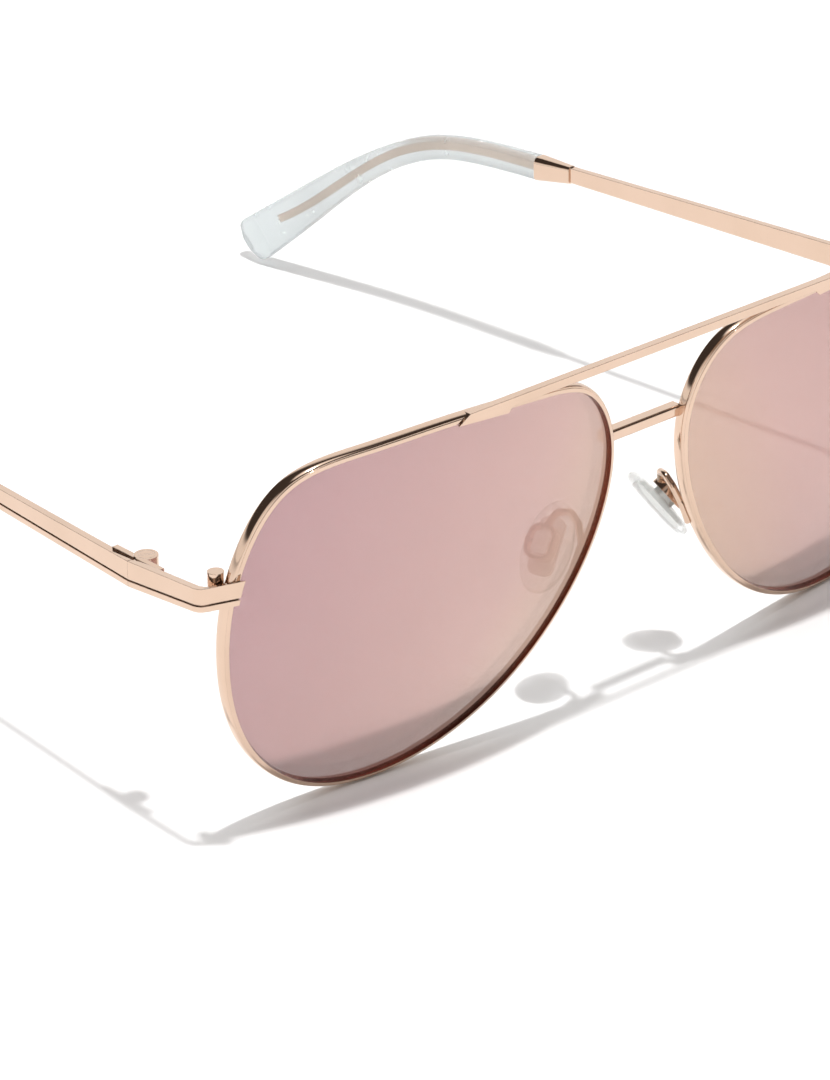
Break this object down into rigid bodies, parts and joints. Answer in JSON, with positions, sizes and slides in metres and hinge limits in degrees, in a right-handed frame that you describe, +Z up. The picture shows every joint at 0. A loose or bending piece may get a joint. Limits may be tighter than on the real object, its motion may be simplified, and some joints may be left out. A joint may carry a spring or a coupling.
{
  "type": "aviator sunglasses",
  "caption": "Open metal aviator sunglasses with mirrored teardrop lenses, double bridge, wire-mounted nose pads and thin folding temples with clear sleeved tips.",
  "frame": {"origin": "middle of the footprint, on the surface the glasses stand on", "axes": "+Z up, +X towards the left ear of the wearer, -Y the way the wearer looks; temples open"},
  "size_m": [0.141, 0.1567, 0.0529],
  "materials": {
    "rose_gold": "polished rose-gold plating",
    "mirror_lens": "smooth, with a pink gradient mirror coating",
    "clear_sleeve": "frosted clear acetate",
    "clear_silicone": "clear, soft sheen",
    "pad_insert": "clear plastic insert"
  },
  "bodies": {
    "front": {"brow_bar": "rose_gold", "bridge": "rose_gold", "eyewire_left": "rose_gold", "lens_left": "mirror_lens", "end_piece_left": "rose_gold", "hinge_front_left": "rose_gold", "hinge_screw_left": "rose_gold", "lock_lower_left": "rose_gold", "lock_upper_left": "rose_gold", "lock_screw_left": "rose_gold", "pad_arm_left": "rose_gold", "pad_box_left": "rose_gold", "pad_screw_left": "rose_gold", "eyewire_right": "rose_gold", "lens_right": "mirror_lens", "end_piece_right": "rose_gold", "hinge_front_right": "rose_gold", "hinge_screw_right": "rose_gold", "lock_lower_right": "rose_gold", "lock_upper_right": "rose_gold", "lock_screw_right": "rose_gold", "pad_arm_right": "rose_gold", "pad_box_right": "rose_gold", "pad_screw_right": "rose_gold"},
    "temple_arm_left": {"temple_left": "rose_gold", "hinge_temple_left": "rose_gold", "ferrule_left": "rose_gold", "temple_tip_left": "clear_sleeve"},
    "pad_left": {"nose_pad_left": "clear_silicone", "pad_core_left": "pad_insert"},
    "temple_arm_right": {"temple_right": "rose_gold", "hinge_temple_right": "rose_gold", "ferrule_right": "rose_gold", "temple_tip_right": "clear_sleeve"},
    "pad_right": {"nose_pad_right": "clear_silicone", "pad_core_right": "pad_insert"}
  },
  "joints": [
    {"name": "temple_fold_left", "type": "hinge", "parent": "front", "child": "temple_arm_left", "pos_m": [0.0673, -0.0552, 0.03409], "axis": [0, 0, 1], "range_deg": [0, 88]},
    {"name": "temple_fold_right", "type": "hinge", "parent": "front", "child": "temple_arm_right", "pos_m": [-0.0673, -0.0552, 0.03409], "axis": [0, 0, -1], "range_deg": [0, 83.5]},
    {"name": "pad_rock_left", "type": "hinge", "parent": "front", "child": "pad_left", "pos_m": [0.0115, -0.0672, 0.02347], "axis": [0.3419, 0.9396, 0.0162], "range_deg": [-8, 8]},
    {"name": "pad_rock_right", "type": "hinge", "parent": "front", "child": "pad_right", "pos_m": [-0.0115, -0.0672, 0.02347], "axis": [-0.3419, 0.9396, 0.0162], "range_deg": [-8, 8]}
  ]
}
